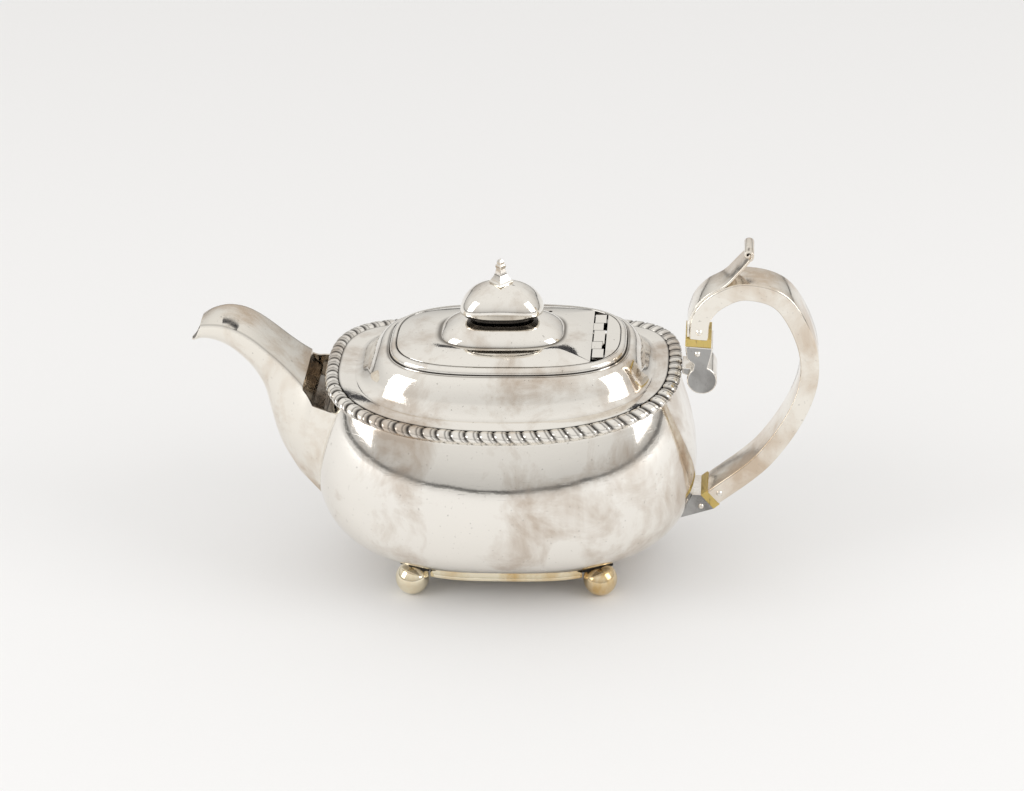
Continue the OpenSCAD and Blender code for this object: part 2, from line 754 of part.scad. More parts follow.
module foot_ring() {
  top = base_z - solder;
  profile = [[0, 8], [0, 9.6], [2, 12.8], [2.4, 15], [0.8, 16.4], [0.8, top], [3.6, top], [3.8, 10.4], [2.2, 8]];
  color("silver")
    difference() {
      skin_loop([for (q = profile) ring(foot_a + 0.6 - q[0], foot_b + 0.4 - q[0], q[1], foot_power)]);
      for (i = [0 : 3]) let (c = corner(i))
        translate([c[0] > 0 ? notch_x : -notch_x - 20, c[1] > 0 ? notch_y : -notch_y - 20, 0])
          cube([20, 20, flange_z]);
    }
}

module foot_ball(i) {
  color("goldenrod")
    difference() {
      translate([corner(i)[0] * ball_x, corner(i)[1] * ball_y, ball_z]) sphere(r = ball_r, $fn = 64);
      translate([corner(i)[0] * ball_x - 10, corner(i)[1] * ball_y - 10, -10]) cube([20, 20, 10]);
    }
}

module foot_bracket(i) {
  c = corner(i);
  color("dimgray")
    difference() {
      translate([0, 0, 12.4]) linear_extrude(flange_z - solder - 12.4)
        polygon([for (q = [[notch_x + 0.1, notch_y + 0.1], [48.6, notch_y + 0.1], [49.2, 26], [44, 33],
                           [notch_x + 0.1, 32.6]]) [c[0] * q[0], c[1] * q[1]]]);
      translate([c[0] * ball_x, c[1] * ball_y, ball_z]) sphere(r = ball_r + solder, $fn = 64);
    }
}

module foot_bracket_1() { foot_bracket(0); }
module foot_bracket_2() { foot_bracket(1); }
module foot_bracket_3() { foot_bracket(2); }
module foot_bracket_4() { foot_bracket(3); }
module ball_foot_1() { foot_ball(0); }
module ball_foot_2() { foot_ball(1); }
module ball_foot_3() { foot_ball(2); }
module ball_foot_4() { foot_ball(3); }

body();
shoulder();
gadroon_rim();
foot_ring();
foot_bracket_1();
foot_bracket_2();
foot_bracket_3();
foot_bracket_4();
ball_foot_1();
ball_foot_2();
ball_foot_3();
ball_foot_4();
spout_shell();
spout_cover();
strainer();
lid_collar();
lid_bearer();
hinge_plate();
fixed_knuckles();
hinge_pin();
lid();
lid_bezel();
lid_knuckles();
finial_base();
finial_cap();
finial_spire();
finial_screw();
finial_nut();
handle();
thumb_piece();
upper_socket();
lower_socket();
upper_insulator();
lower_insulator();
upper_pins();
lower_pins();
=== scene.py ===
import math

import bmesh
import bpy
import numpy as np
from mathutils import Matrix, Vector


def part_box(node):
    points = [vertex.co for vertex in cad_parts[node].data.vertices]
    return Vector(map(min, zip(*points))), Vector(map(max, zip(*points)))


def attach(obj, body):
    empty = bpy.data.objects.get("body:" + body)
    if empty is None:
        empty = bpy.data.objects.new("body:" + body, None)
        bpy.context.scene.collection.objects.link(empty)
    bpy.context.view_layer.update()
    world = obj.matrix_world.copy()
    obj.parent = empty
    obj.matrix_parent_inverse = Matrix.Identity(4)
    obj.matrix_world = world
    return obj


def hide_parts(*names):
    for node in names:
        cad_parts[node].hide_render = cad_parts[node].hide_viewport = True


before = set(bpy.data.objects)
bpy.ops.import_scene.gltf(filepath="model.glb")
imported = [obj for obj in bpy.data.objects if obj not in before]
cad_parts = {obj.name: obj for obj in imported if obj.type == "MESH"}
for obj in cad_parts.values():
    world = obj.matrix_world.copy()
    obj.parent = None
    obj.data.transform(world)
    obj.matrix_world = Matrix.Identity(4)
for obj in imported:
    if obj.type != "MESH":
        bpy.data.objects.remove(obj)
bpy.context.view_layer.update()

MM = 0.001
MARK = "painted_shade"               # the mesh attribute that paints shade into grooves, corners, seams and hollows
STEPS = 288                 # points around each cushion-shaped ring
BELLY_POWER = 2.5           # the same plan powers as the CAD's
PLAN_POWER = 2.9
LID_POWER = 3.0
FOOT_POWER = 3.2


# ---------- sizes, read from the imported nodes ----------
def node_box(name):
    low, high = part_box(name)
    return np.array(low), np.array(high)


def half_sizes(name):
    low, high = node_box(name)
    return (high - low) / 2


body_low, body_high = node_box("body")
BELLY_A, BELLY_B = half_sizes("body")[:2]
RIM_LIFT = 8 * MM           # how far the rim rises at the two ends of the pot
BASE_Z, WALL_TOP_Z = body_low[2], body_high[2] - RIM_LIFT
BELLY_Z = BASE_Z + 39 * MM
BASE_A, BASE_B = 49 * MM, 33.5 * MM     # half sizes of the bowl's flat bottom
BOWL_POWER = 2.2
NECK_IN = 11 * MM           # how far the wall draws in from the belly to its top
NECK_POWER = 1.8
TOP_TURN = 1.5 * MM         # the wall turns in over this height at its top edge
WALL = 1.0 * MM

RIM_A, RIM_B = half_sizes("gadroon_rim")[:2]
RIM_HALF_H = 2.55 * MM
RIM_Z = node_box("gadroon_rim")[0][2] + RIM_HALF_H
RIM_BAND = 6.6 * MM         # how far the rim reaches inwards
RIM_LOBES = 72

collar_low, collar_high = node_box("lid_collar")
LID_Z = collar_high[2]
LID_SHIFT = (collar_low[0] + collar_high[0]) / 2
COLLAR_W = 3.9 * MM
COLLAR_DROP = 3.1 * MM      # the collar's height above the shoulder
LID_A = half_sizes("lid_collar")[0] - COLLAR_W
LID_B = half_sizes("lid_collar")[1] - COLLAR_W

lid_high = node_box("lid")[1]
LID_T = 1.3 * MM
LID_RISE = 2.6 * MM         # how far the lid's border rises to the boss
BOSS_RISE = lid_high[2] - LID_Z - LID_RISE
BOSS_A, BOSS_B = 28 * MM, 17.5 * MM
BOSS_K = 0.56               # where the lid's border meets the boss
LID_GAP = 0.3 * MM
HINGE_EDGE = lid_high[0]
KNUCKLE_Y = (5.6 * MM, 12.8 * MM)       # where the knuckles meet, out from the middle

cap_low = node_box("finial_cap")[0]
base_low, base_high = node_box("finial_base")
CAP_A, CAP_B = half_sizes("finial_cap")[:2]
CAP_ARCH = 3 * MM           # how far the cap's edge lifts towards its two ends
CAP_RISE = 14 * MM
CAP_EDGE = 1.2 * MM

FOOT_A, FOOT_B = half_sizes("foot_ring")[:2]

HANDLE_W = 2 * half_sizes("handle")[1]
HANDLE_T = 8.4 * MM


# ---------- curves ----------
def power_radius(angle, power):
    """Radius of a superellipse of half size 1: 2 is a circle, and more is squarer."""
    c, s = np.abs(np.cos(angle)), np.abs(np.sin(angle))
    return (c ** power + s ** power) ** (-1 / power)


def cushion_angles(a, b, power, count):
    """Angles that space the points of a cushion-shaped outline evenly along it."""
    fine = np.linspace(0, 2 * np.pi, 4001)
    r = power_radius(fine, power)
    x, y = a * r * np.cos(fine), b * r * np.sin(fine)
    along = np.concatenate([[0], np.cumsum(np.hypot(np.diff(x), np.diff(y)))])
    return np.interp(np.linspace(0, along[-1], count, endpoint=False), along, fine)


ANGLES = cushion_angles(BELLY_A, BELLY_B, PLAN_POWER, STEPS)


def ring(a, b, z, power=PLAN_POWER, x0=0.0, rise=0.0, angles=ANGLES):
    """A cushion-shaped ring; rise lifts its two ends."""
    r = power_radius(angles, power)
    x, y = r * np.cos(angles), r * np.sin(angles)
    return np.stack([x0 + a * x, b * y, z + rise * x ** 2], -1)


def round_ring(x, y, z, radius, count):
    """A level circle of points; four of them make a square on its corner."""
    t = np.linspace(0, 2 * np.pi, count, endpoint=False)
    return np.stack([x + radius * np.cos(t), y + radius * np.sin(t), np.full(count, z)], -1)


def polar(radius, angle):
    return radius * np.array([math.cos(angle), math.sin(angle)])


def spline(points, steps):
    """A smooth curve through a short list of points."""
    p = np.array(points, float)
    p = np.vstack([p[:1], p, p[-1:]])
    out = []
    for k in range(1, len(p) - 2):
        t = np.linspace(0, 1, steps, endpoint=False)[:, None]
        out.append(0.5 * (2 * p[k] + (p[k + 1] - p[k - 1]) * t
                          + (2 * p[k - 1] - 5 * p[k] + 4 * p[k + 1] - p[k + 2]) * t ** 2
                          + (3 * p[k] - p[k - 1] - 3 * p[k + 1] + p[k + 2]) * t ** 3))
    return np.vstack(out + [p[-1:]])


def normals_2d(path):
    """Unit normals to the left of a flat path."""
    d = np.gradient(path, axis=0)
    d /= np.linalg.norm(d, axis=1)[:, None]
    return np.stack([-d[:, 1], d[:, 0]], -1)


def wall_half(z, foot, belly, top=WALL_TOP_Z):
    """Half size of the body wall at height z, as in the CAD."""
    z = np.asarray(z, float)
    low = np.clip((BELLY_Z - z) / (BELLY_Z - BASE_Z), 0, 1)
    high = np.clip((z - BELLY_Z) / (top - BELLY_Z), 0, 1)
    bowl = foot + (belly - foot) * (1 - low ** BOWL_POWER) ** (1 / BOWL_POWER)
    neck = belly - NECK_IN * high ** NECK_POWER
    return np.where(z <= BELLY_Z, bowl, neck)


def wall_a(z):
    return wall_half(z, BASE_A, BELLY_A)


def wall_b(z):
    return wall_half(z, BASE_B, BELLY_B)


def wall_power(z):
    above_belly = np.clip((z - BELLY_Z) / (WALL_TOP_Z - BELLY_Z), 0, None)
    return BELLY_POWER + (PLAN_POWER - BELLY_POWER) * above_belly


def end_top(y):
    """Height of the wall's top edge at the ends of the pot, y from its middle."""
    return WALL_TOP_Z + RIM_LIFT * (1 - (np.abs(y) / BELLY_B) ** PLAN_POWER) ** (2 / PLAN_POWER)


def wall_x(y, z):
    """How far out the end of the wall is, at a point y from the middle and z up."""
    top, p = end_top(y), wall_power(z)
    across = np.abs(y / wall_half(z, BASE_B, BELLY_B, top))
    return wall_half(z, BASE_A, BELLY_A, top) * (1 - across ** p) ** (1 / p)


# ---------- meshes ----------
def make_object(name, verts, faces, material, sharp_deg=35):
    mesh = bpy.data.meshes.new(name)
    mesh.from_pydata([tuple(v) for v in verts], [], faces)
    mesh.validate()
    mesh.update()
    mesh.shade_smooth()
    mesh.set_sharp_from_angle(angle=math.radians(sharp_deg))
    obj = bpy.data.objects.new(name, mesh)
    bpy.context.scene.collection.objects.link(obj)
    mesh.materials.append(material)
    return obj


def skin(rings, loop=False, capped=False):
    """Vertices and faces of a skin through equal rings; loop joins the last ring to the first."""
    rings = np.array(rings)
    count, n = rings.shape[:2]
    verts = list(rings.reshape(-1, 3))
    faces = []
    for i in range(count if loop else count - 1):
        a, b = i * n, ((i + 1) % count) * n
        for j in range(n):
            k = (j + 1) % n
            faces.append((a + j, a + k, b + k, b + j))
    if capped:
        for base, flip in ((0, True), ((count - 1) * n, False)):
            verts.append(rings[0 if flip else -1].mean(axis=0))
            middle = len(verts) - 1
            for j in range(n):
                pair = (base + (j + 1) % n, base + j) if flip else (base + j, base + (j + 1) % n)
                faces.append((middle,) + pair)
    return verts, faces


def slab(outline, width, y=0.0):
    """A bar with parallel faces, from an outline [x, z], centred on y."""
    n = len(outline)
    verts = [(x, side * width / 2 + y, z) for side in (-1, 1) for x, z in outline]
    faces = [tuple(range(n)), tuple(range(2 * n - 1, n - 1, -1))]
    faces += [(j, n + j, n + (j + 1) % n, (j + 1) % n) for j in range(n)]
    return verts, faces


def rounded_section(width, thickness, radius, corner_steps=4):
    """A rounded rectangle as [across, outward] offsets."""
    points = []
    for k, (sx, sy) in enumerate(((1, 1), (-1, 1), (-1, -1), (1, -1))):
        for i in range(corner_steps + 1):
            t = math.pi / 2 * (k + i / corner_steps)
            points.append((sx * (width / 2 - radius) + radius * math.cos(t),
                           sy * (thickness / 2 - radius) + radius * math.sin(t)))
    return np.array(points)


def sweep(path, sections):
    """Sweeps sections [across, outward] along a path [x, z] in the plane of the handle."""
    normal = normals_2d(path)
    rings = []
    for p, n, s in zip(path, normal, sections):
        at = p + s[:, 1:] * n
        rings.append(np.stack([at[:, 0], s[:, 0], at[:, 1]], -1))
    return skin(rings, capped=True)


def mark_painted_shade(obj, values):
    """Stores how much shade is painted on each vertex."""
    full = np.zeros(len(obj.data.vertices), np.float32)
    full[:len(values)] = values
    obj.data.attributes.new(MARK, "FLOAT", "POINT").data.foreach_set("value", full)


def joined_slabs(slabs):
    """One list of vertices and one of faces, from several slabs."""
    verts, faces = [], []
    for slab_verts, slab_faces in slabs:
        start = len(verts)
        verts += slab_verts
        faces += [tuple(i + start for i in face) for face in slab_faces]
    return verts, faces


def recalc_outside(obj):
    """Turns every face of a piece outwards."""
    bm = bmesh.new()
    bm.from_mesh(obj.data)
    bmesh.ops.recalc_face_normals(bm, faces=bm.faces)
    bm.to_mesh(obj.data)
    bm.free()


def bevel(obj, width, segments=3, limit_deg=40):
    mod = obj.modifiers.new("edge", "BEVEL")
    mod.width = width
    mod.segments = segments
    mod.limit_method = "ANGLE"
    mod.angle_limit = math.radians(limit_deg)
    mod.harden_normals = True


def cut(obj, cutters):
    """Cuts the cutters out of a piece and bakes the result into its mesh."""
    for cutter in cutters:
        mod = obj.modifiers.new("cut", "BOOLEAN")
        mod.object = cutter
        mod.solver = "EXACT"
    graph = bpy.context.evaluated_depsgraph_get()
    mesh = bpy.data.meshes.new_from_object(obj.evaluated_get(graph))
    obj.modifiers.clear()
    obj.data = mesh
    mesh.set_sharp_from_angle(angle=math.radians(35))
    for cutter in cutters:
        bpy.data.objects.remove(cutter, do_unlink=True)


def place(obj, body, slot, *nodes):
    """Puts a finished piece on its body, in place of its CAD nodes."""
    recalc_outside(obj)
    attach(obj, body)
    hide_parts(*nodes)
    return obj


# ---------- materials ----------
class Nodes:
    """A small helper that adds and links shader nodes."""

    def __init__(self, name):
        self.material = bpy.data.materials.new(name)
        self.material.use_nodes = True
        self.tree = self.material.node_tree
        self.shader = self.tree.nodes["Principled BSDF"]
        self.coords = self.tree.nodes.new("ShaderNodeTexCoord").outputs["Object"]

    def add(self, kind, **inputs):
        node = self.tree.nodes.new("ShaderNode" + kind)
        for key, value in inputs.items():
            self.set(node, key.replace("_", " "), value)
        return node

    def set(self, node, key, value):
        socket = node.inputs[key]
        if isinstance(value, bpy.types.NodeSocket):
            self.tree.links.new(value, socket)
        else:
            socket.default_value = value

    def noise(self, scale, detail=4.0, rough=0.55, stretch=(1, 1, 1), distort=0.0):
        mapping = self.add("Mapping", Vector=self.coords, Scale=stretch)
        return self.add("TexNoise", Vector=mapping.outputs[0], Scale=scale, Detail=detail,
                        Roughness=rough, Distortion=distort).outputs["Fac"]

    def remap(self, value, low, high, to_low=0.0, to_high=1.0):
        node = self.add("MapRange", Value=value, From_Min=low, From_Max=high, To_Min=to_low, To_Max=to_high)
        return node.outputs[0]

    def math(self, operation, a, b):
        node = self.tree.nodes.new("ShaderNodeMath")
        node.operation = operation
        node.use_clamp = True
        self.set(node, 0, a)
        self.set(node, 1, b)
        return node.outputs[0]

    def mix(self, factor, a, b):
        node = self.tree.nodes.new("ShaderNodeMix")
        node.data_type = "RGBA"
        for index, value in ((0, factor), (6, a), (7, b)):      # the colour sockets of a Mix node
            self.set(node, index, value)
        return node.outputs[2]

    def bump(self, height, strength, distance, normal=None):
        node = self.add("Bump", Height=height, Strength=strength, Distance=distance)
        if normal is not None:
            self.tree.links.new(normal, node.inputs["Normal"])
        return node.outputs[0]

    def crevices(self, low, high):
        """1 in hollows, 0 on flats and edges."""
        point = self.tree.nodes.new("ShaderNodeNewGeometry").outputs["Pointiness"]
        return self.remap(point, low, high, 1.0, 0.0)


def rgb(*values):
    return (*values, 1.0)


# near black, for the shade painted where the mesh attribute marks it
PAINTED_SHADE_TONE = rgb(0.05, 0.044, 0.04)


def silver_material(name, clean, patina, patina_level, roughness, crevice_tone=rgb(0.10, 0.085, 0.07)):
    """Old silver: clouds of tarnish, dark specks and hollows, smears and fine scratches."""
    n = Nodes(name)
    cloud = n.noise(38, 7, 0.62, distort=0.6)
    streak = n.noise(30, 5, 0.6, stretch=(1, 1, 0.25))
    stain = n.remap(n.math("MULTIPLY", cloud, streak), 0.27 - patina_level, 0.42 - patina_level)
    speck = n.remap(n.noise(700, 2, 0.5), 0.70, 0.74)
    hollow = n.crevices(0.46, 0.495)
    tone = n.mix(n.math("MULTIPLY", stain, 0.75), clean, patina)
    tone = n.mix(n.math("MULTIPLY", speck, 0.35), tone, crevice_tone)
    tone = n.mix(n.math("MULTIPLY", hollow, 0.8), tone, crevice_tone)
    # painted shade: vertices marked by the mesh attribute go towards near black
    mark = n.tree.nodes.new("ShaderNodeAttribute")
    mark.attribute_name = MARK
    tone = n.mix(mark.outputs["Fac"], tone, PAINTED_SHADE_TONE)
    n.set(n.shader, "Base Color", tone)
    n.set(n.shader, "Metallic", 1.0)
    smear = n.math("MULTIPLY", n.noise(60, 5, 0.65), 0.6)
    dull = n.math("ADD", smear, n.math("MULTIPLY", stain, 0.4))
    n.set(n.shader, "Roughness", n.remap(dull, 0.2, 0.8, roughness * 0.5, roughness * 1.9))
    scratches = n.remap(n.noise(90, 3, 0.5, stretch=(14, 1, 1)), 0.62, 0.66)
    cross = n.remap(n.noise(80, 3, 0.5, stretch=(1, 1, 15)), 0.64, 0.67)
    fine = n.math("ADD", scratches, cross)
    normal = n.bump(n.noise(30, 2, 0.5), 0.35, 0.0008)
    normal = n.bump(n.noise(150, 3, 0.6), 0.12, 0.0002, normal)
    normal = n.bump(fine, 0.06, 0.0001, normal)
    n.set(n.shader, "Normal", normal)
    return n.material


def ivory_material():
    """Yellowed ivory with brown cracks along its grain."""
    n = Nodes("old_ivory")
    grain = n.noise(60, 5, 0.6, stretch=(1, 6, 1))
    cracks = n.remap(n.noise(160, 4, 0.6, stretch=(5, 1, 1)), 0.60, 0.68)
    tone = n.mix(grain, rgb(0.50, 0.34, 0.07), rgb(0.72, 0.57, 0.20))
    tone = n.mix(n.math("MULTIPLY", cracks, 0.6), tone, rgb(0.17, 0.10, 0.03))
    n.set(n.shader, "Base Color", tone)
    n.set(n.shader, "Roughness", n.remap(grain, 0, 1, 0.3, 0.5))
    n.shader.inputs["Subsurface Weight"].default_value = 0.15
    n.shader.inputs["Subsurface Radius"].default_value = (0.002, 0.001, 0.0005)
    n.set(n.shader, "Normal", n.bump(cracks, 0.2, 0.0001))
    return n.material


def floor_material():
    """Matt pale paper with a faint grain."""
    n = Nodes("paper_sweep")
    grain = n.noise(900, 2)
    n.set(n.shader, "Base Color", n.mix(grain, rgb(0.86, 0.86, 0.865), rgb(0.88, 0.88, 0.885)))
    n.set(n.shader, "Roughness", 0.9)
    return n.material


SILVER = silver_material("old_silver", rgb(0.90, 0.87, 0.815), rgb(0.50, 0.40, 0.31),
                         patina_level=0.035, roughness=0.085)
SILVER_WARM = silver_material("warm_silver", rgb(0.89, 0.85, 0.775), rgb(0.55, 0.41, 0.28),
                              patina_level=0.055, roughness=0.12)
# a darker copy of the silver: painted shade on the sockets' flat faces, and also the colour of the hinge
# pin and the hidden parts under the lid and inside the pot
SILVER_DARK = silver_material("grey_silver", rgb(0.40, 0.395, 0.385), rgb(0.13, 0.12, 0.11),
                              patina_level=0.07, roughness=0.22)
# near black: painted shade for the finial's base in its gap under the cap; the foot brackets are given it
# as well
SILVER_BLACK = silver_material("black_silver", rgb(0.05, 0.045, 0.04), rgb(0.02, 0.018, 0.016),
                               patina_level=0.04, roughness=0.35)
GILT = silver_material("golden_tarnish", rgb(0.88, 0.80, 0.62), rgb(0.62, 0.38, 0.10),
                       patina_level=0.04, roughness=0.12, crevice_tone=rgb(0.22, 0.12, 0.04))
IVORY = ivory_material()


# ---------- body ----------
def wall_ring(z, inset=0.0):
    """A ring of the wall; it lifts towards the ends from the belly up."""
    rise = RIM_LIFT * max(0, (z - BELLY_Z) / (WALL_TOP_Z - BELLY_Z))
    return ring(wall_a(z) - inset, wall_b(z) - inset, z, wall_power(z), 0, rise)


def make_body():
    """The bowl and neck as one open shell: outside, lip, inside and floor."""
    steps = 34
    t = np.linspace(0, 1, steps)
    low_z = BELLY_Z - (BELLY_Z - BASE_Z) * np.cos(np.pi / 2 * t) ** 0.9
    high_z = np.linspace(BELLY_Z, WALL_TOP_Z - TOP_TURN, steps)[1:]
    outer = [wall_ring(z) for z in np.concatenate([low_z, high_z])]
    lip = 1.0 * MM
    top_a, top_b = wall_a(WALL_TOP_Z), wall_b(WALL_TOP_Z)
    rim = [ring(top_a - k, top_b - k, WALL_TOP_Z, PLAN_POWER, 0, RIM_LIFT) for k in (lip, lip + WALL)]
    inner_top, inner_low = WALL_TOP_Z - 4 * MM, BASE_Z + 5 * MM
    inner = [wall_ring(z, WALL) for z in np.linspace(inner_top, inner_low, steps)]
    floor_spread = 10 * MM      # the inside floor is wider than the flat bottom under it
    floor = [ring(BASE_A + floor_spread, BASE_B + floor_spread, BASE_Z + WALL)]
    obj = make_object("body_shell", *skin(outer + rim + inner + floor, capped=True), SILVER)
    return place(obj, "pot", "silver", "body")


BORDER_END, COVE_END = 0.3, 0.6         # shares of the way in, from the rim to the collar


def shoulder_z(f):
    """Height of the shoulder: a border, then a cove, then a dome up to the collar."""
    border_rise, cove_rise = 1.4 * MM, 6 * MM
    border = RIM_Z + 1.6 * MM
    step = border + border_rise
    cove = step + cove_rise
    top = LID_Z - COLLAR_DROP
    if f < BORDER_END:
        return border + border_rise * f / BORDER_END
    if f < COVE_END:
        turn = (f - BORDER_END) / (COVE_END - BORDER_END)
        return step + (cove - step) * (1 - math.cos(math.pi / 2 * turn))
    return cove + (top - cove) * math.sin(math.pi / 2 * (f - COVE_END) / (1 - COVE_END))


def shoulder_ring(f, drop):
    tuck = 0.4 * MM             # the shoulder runs this far under the rim
    a0, b0 = RIM_A - RIM_BAND + tuck, RIM_B - RIM_BAND + tuck
    a1, b1 = LID_A + COLLAR_W, LID_B + COLLAR_W
    inset = drop * 0.35
    return ring(a0 + (a1 - a0) * f - inset, b0 + (b1 - b0) * f - inset, shoulder_z(f) - drop,
                PLAN_POWER + (LID_POWER - PLAN_POWER) * f, LID_SHIFT * f, RIM_LIFT * (1 - f))


def make_shoulder():
    f = np.linspace(0, 1, 64)
    top = [shoulder_ring(k, 0) for k in f]
    under = [shoulder_ring(k, WALL) for k in np.linspace(1, 0, 24)]
    obj = make_object("shoulder_shell", *skin(top + under, loop=True), SILVER)
    # painted shade at the foot of the collar and where the shoulder runs under the rim
    shade_by_collar = 0.75 * np.exp(-((f - 1.0) / 0.03) ** 2)
    shade_by_rim = 0.8 * np.exp(-(f / 0.02) ** 2)
    mark_painted_shade(obj, np.repeat(shade_by_collar + shade_by_rim, STEPS))
    return place(obj, "pot", "silver", "shoulder")


def make_gadroon_rim():
    """A closed band of slanted lobes, each with a groove beside it and a crease along it."""
    per_lobe, sides = 16, 24
    slant, groove_from = 0.22, 0.50             # shares of a lobe
    crease_at, crease_half = 0.66, 0.10
    groove_depth, crease_depth = 0.26, 0.08     # shares of the band's half thickness
    count = RIM_LOBES * per_lobe
    angles = cushion_angles(RIM_A, RIM_B, PLAN_POWER, count)
    r = power_radius(angles, PLAN_POWER)
    lift = RIM_LIFT * (r * np.cos(angles)) ** 2
    mid = RIM_BAND / 2
    rings, groove_shade = [], []
    for k in range(sides):
        t = -2 * np.pi * k / sides
        s = (np.arange(count) / per_lobe + slant * math.sin(t)) % 1.0
        groove = np.clip((np.abs(2 * s - 1) - groove_from) / (1 - groove_from), 0, 1) ** 1.4
        crease = np.clip(1 - np.abs(s - crease_at) / crease_half, 0, 1)
        swell = 1 - groove_depth * groove - crease_depth * crease
        # painted shade in the grooves and along the creases, deeper on one side of the band's round
        # section, where less light falls
        dark_side = 0.35 + 0.65 * abs(math.cos(t / 2 - 0.6))
        groove_shade.append(np.clip(groove * 1.3 + 0.8 * crease, 0, 1) * dark_side)
        inset = mid - mid * swell * math.cos(t)
        z = RIM_Z + RIM_HALF_H * swell * math.sin(t) + lift
        x, y = (RIM_A - inset) * r * np.cos(angles), (RIM_B - inset) * r * np.sin(angles)
        rings.append(np.stack([x, y, z], -1))
    obj = make_object("gadroon_band", *skin(rings, loop=True), SILVER)
    mark_painted_shade(obj, np.concatenate(groove_shade))
    return place(obj, "pot", "silver", "gadroon_rim")


def make_collar():
    """The moulding round the lid: a fillet, a groove and a half round, as [out in mm, height]."""
    foot = LID_Z - COLLAR_DROP
    profile = [(3.9, foot - WALL), (3.9, foot + 0.1 * MM), (3.7, foot + 0.35 * MM), (3.3, foot + 0.3 * MM),
               (3.0, foot + 0.1 * MM), (2.8, foot + 0.35 * MM)]
    # painted shade in the groove, at the bead's foot and in the gap against the lid
    painted_shade = [0, 0, 0.3, 0.9, 1, 0.8]
    bead_foot, bead_rise = foot + 0.7 * MM, COLLAR_DROP - 0.75 * MM
    for t in np.linspace(0, np.pi / 2, 9):
        profile.append((0.7 + 2.3 * math.cos(t), bead_foot + bead_rise * math.sin(t)))
        painted_shade.append(0.45 if t == 0 else 0)
    profile += [(0.25, LID_Z - 0.15 * MM), (0, LID_Z - 0.5 * MM), (0, foot - WALL)]
    painted_shade += [0.5, 1, 1]
    rings = [ring(LID_A + w * MM, LID_B + w * MM, z, LID_POWER, LID_SHIFT) for w, z in profile]
    obj = make_object("collar_moulding", *skin(rings, loop=True), SILVER)
    mark_painted_shade(obj, np.repeat(painted_shade, STEPS))
    return place(obj, "pot", "silver", "lid_collar")


def make_hinge_plate():
    """The fixed leaf, which closes the lid opening behind the hinge."""
    low, high = node_box("hinge_plate")
    gap = 0.1 * MM
    outline = ring(LID_A - gap, LID_B - gap, 0, LID_POWER, LID_SHIFT)
    outline = outline[outline[:, 0] > low[0]]
    order = np.argsort(np.arctan2(outline[:, 1], outline[:, 0] - low[0]))
    outline = outline[order]
    bottom = outline + [0, 0, low[2]]
    top = outline + [0, 0, high[2]]
    n = len(outline)
    faces = [tuple(range(n - 1, -1, -1)), tuple(range(n, 2 * n))]
    faces += [(j, (j + 1) % n, n + (j + 1) % n, n + j) for j in range(n)]
    obj = make_object("hinge_leaf", list(bottom) + list(top), faces, SILVER)
    bevel(obj, 0.15 * MM, 2)
    return place(obj, "pot", "silver", "hinge_plate")


def make_knuckles(node, body, leaf_side, leaf_edge, spans):
    """One set of knuckles: round below, filed flat on top, and wide enough to meet its own leaf."""
    x, _, z = np.mean(node_box("hinge_pin"), axis=0)
    knuckle_top = node_box(node)[1][2]
    radius = knuckle_top - z
    half_round = np.linspace(math.radians(-180), 0, 13)
    outline = [(x + radius * math.cos(t), z + radius * math.sin(t)) for t in half_round]
    shoulder, top = z + 0.5 * radius, knuckle_top - 0.03 * MM
    left, right = sorted((x - leaf_side * 0.9 * radius, leaf_edge))
    outline += [(right, shoulder), (right, top), (left, top), (left, shoulder)]
    end_play = 0.3 * MM
    slabs = [slab(outline, y1 - y0 - end_play, (y0 + y1) / 2) for y0, y1 in spans]
    obj = make_object(node + "_filed", *joined_slabs(slabs), SILVER)
    place(obj, body, "silver", node)


def make_hinge():
    inner, outer = KNUCKLE_Y
    end = node_box("fixed_knuckles")[1][1]
    gap = 0.05 * MM
    plate_edge = node_box("hinge_plate")[0][0]
    fixed_spans = [(-inner, inner), (outer, end), (-end, -outer)]
    lid_spans = [(inner, outer), (-outer, -inner)]
    make_knuckles("fixed_knuckles", "pot", 1, plate_edge - gap, fixed_spans)
    make_knuckles("lid_knuckles", "lid", -1, HINGE_EDGE + gap, lid_spans)


# ---------- lid ----------
def lid_outline(k, z):
    """Outlines of the lid: k = 1 is its edge, cut straight along the hinge, BOSS_K the foot of the boss."""
    edge = ring(LID_A - LID_GAP, LID_B - LID_GAP, z, LID_POWER, LID_SHIFT)
    edge[:, 0] = np.minimum(edge[:, 0], HINGE_EDGE)
    boss = ring(BOSS_A * min(1, k / BOSS_K), BOSS_B * min(1, k / BOSS_K), z, LID_POWER)
    return boss + max(0, (k - BOSS_K) / (1 - BOSS_K)) * (edge - boss)


def lid_top_z(k):
    """Height of the lid's top: a border that rises gently, then the raised boss."""
    if k > BOSS_K:
        return LID_Z + LID_RISE * (1 - ((k - BOSS_K) / (1 - BOSS_K)) ** 1.6)
    return LID_Z + LID_RISE + BOSS_RISE * (1 - (k / BOSS_K) ** 3) ** 0.7


